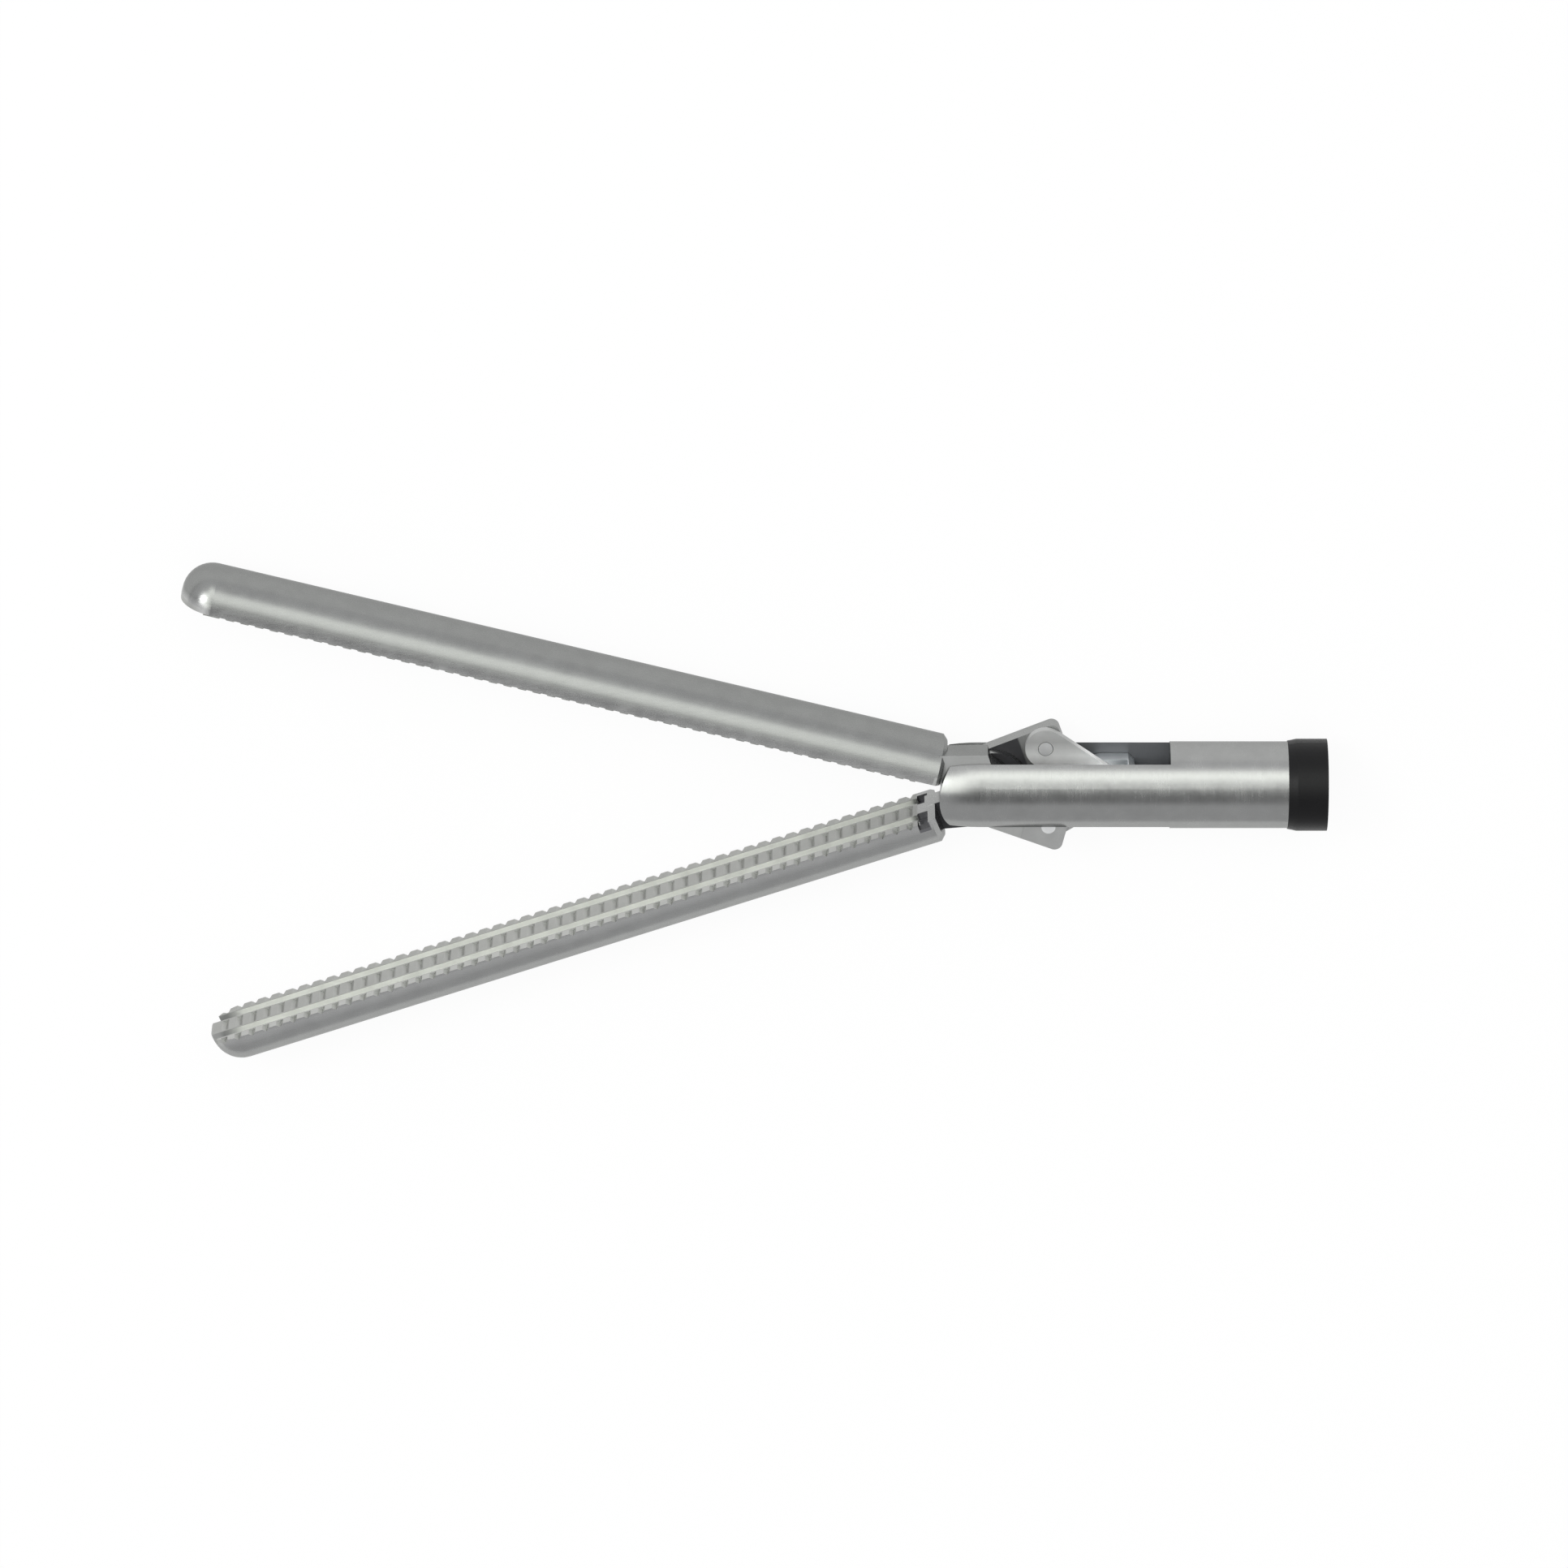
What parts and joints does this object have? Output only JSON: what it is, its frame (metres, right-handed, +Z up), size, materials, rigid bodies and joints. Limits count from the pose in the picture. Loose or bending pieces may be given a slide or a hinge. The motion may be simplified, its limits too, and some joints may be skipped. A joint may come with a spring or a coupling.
{
  "type": "laparoscopic grasper working end",
  "caption": "Distal end of a rod-driven laparoscopic grasper: two long half-round toothed jaws, link plates and pull rod in a slotted tube.",
  "frame": {"origin": "centre of the open proximal end of the clevis tube, on the tube axis", "axes": "+X along the tube towards the jaw tips, +Z up along the jaw pivot, +Y to the left of someone holding the instrument; it lies on its side"},
  "size_m": [0.0643, 0.0304, 0.0052],
  "materials": {
    "satin_steel": "satin brushed stainless steel, tumbled edges",
    "pin_steel": "ground stainless steel pin ends",
    "black_insulation": "satin black heat-shrunk polyolefin",
    "white_bush": "white PTFE",
    "seal_rubber": "dark silicone rubber"
  },
  "bodies": {
    "tube": {"clevis_tube": "satin_steel", "insulation_sleeve": "black_insulation", "rod_guide_bush": "white_bush", "rod_seal": "seal_rubber", "seal_retainer": "satin_steel", "pivot_pin": "pin_steel"},
    "left_jaw": {"left_jaw": "satin_steel", "left_link_pin": "pin_steel"},
    "right_jaw": {"right_jaw": "satin_steel", "right_link_pin": "pin_steel"},
    "left_link": {"left_link": "satin_steel"},
    "right_link": {"right_link": "satin_steel"},
    "rod": {"drive_rod": "satin_steel", "rod_fork": "satin_steel", "rod_cross_pin": "pin_steel"}
  },
  "joints": [
    {"name": "left_jaw_hinge", "type": "hinge", "parent": "tube", "child": "left_jaw", "pos_m": [0.01878, 0, 0], "axis": [0, 0, -1], "range_deg": [0, 19.05]},
    {"name": "right_jaw_hinge", "type": "hinge", "parent": "tube", "child": "right_jaw", "pos_m": [0.01878, 0, 0], "axis": [0, 0, 1], "range_deg": [0, 14.5]},
    {"name": "left_link_hinge", "type": "hinge", "parent": "left_jaw", "child": "left_link", "pos_m": [0.01586, -0.0022, 0], "axis": [0, 0, 1], "range_deg": [0, 37.33]},
    {"name": "right_link_hinge", "type": "hinge", "parent": "right_jaw", "child": "right_link", "pos_m": [0.01569, 0.00196, 0], "axis": [0, 0, -1], "range_deg": [0, 28.44]},
    {"name": "rod_slide", "type": "slide", "parent": "tube", "child": "rod", "axis": [-1, 0, 0], "range_m": [0, 0.000932]}
  ],
  "couplings": [
    {"joint": "right_jaw_hinge", "follows": "left_jaw_hinge", "ratio": 0.76116},
    {"joint": "left_link_hinge", "follows": "left_jaw_hinge", "ratio": 1.9596},
    {"joint": "right_link_hinge", "follows": "left_jaw_hinge", "ratio": 1.4929},
    {"joint": "rod_slide", "follows": "left_jaw_hinge", "m_per_rad": 0.0028012}
  ]
}
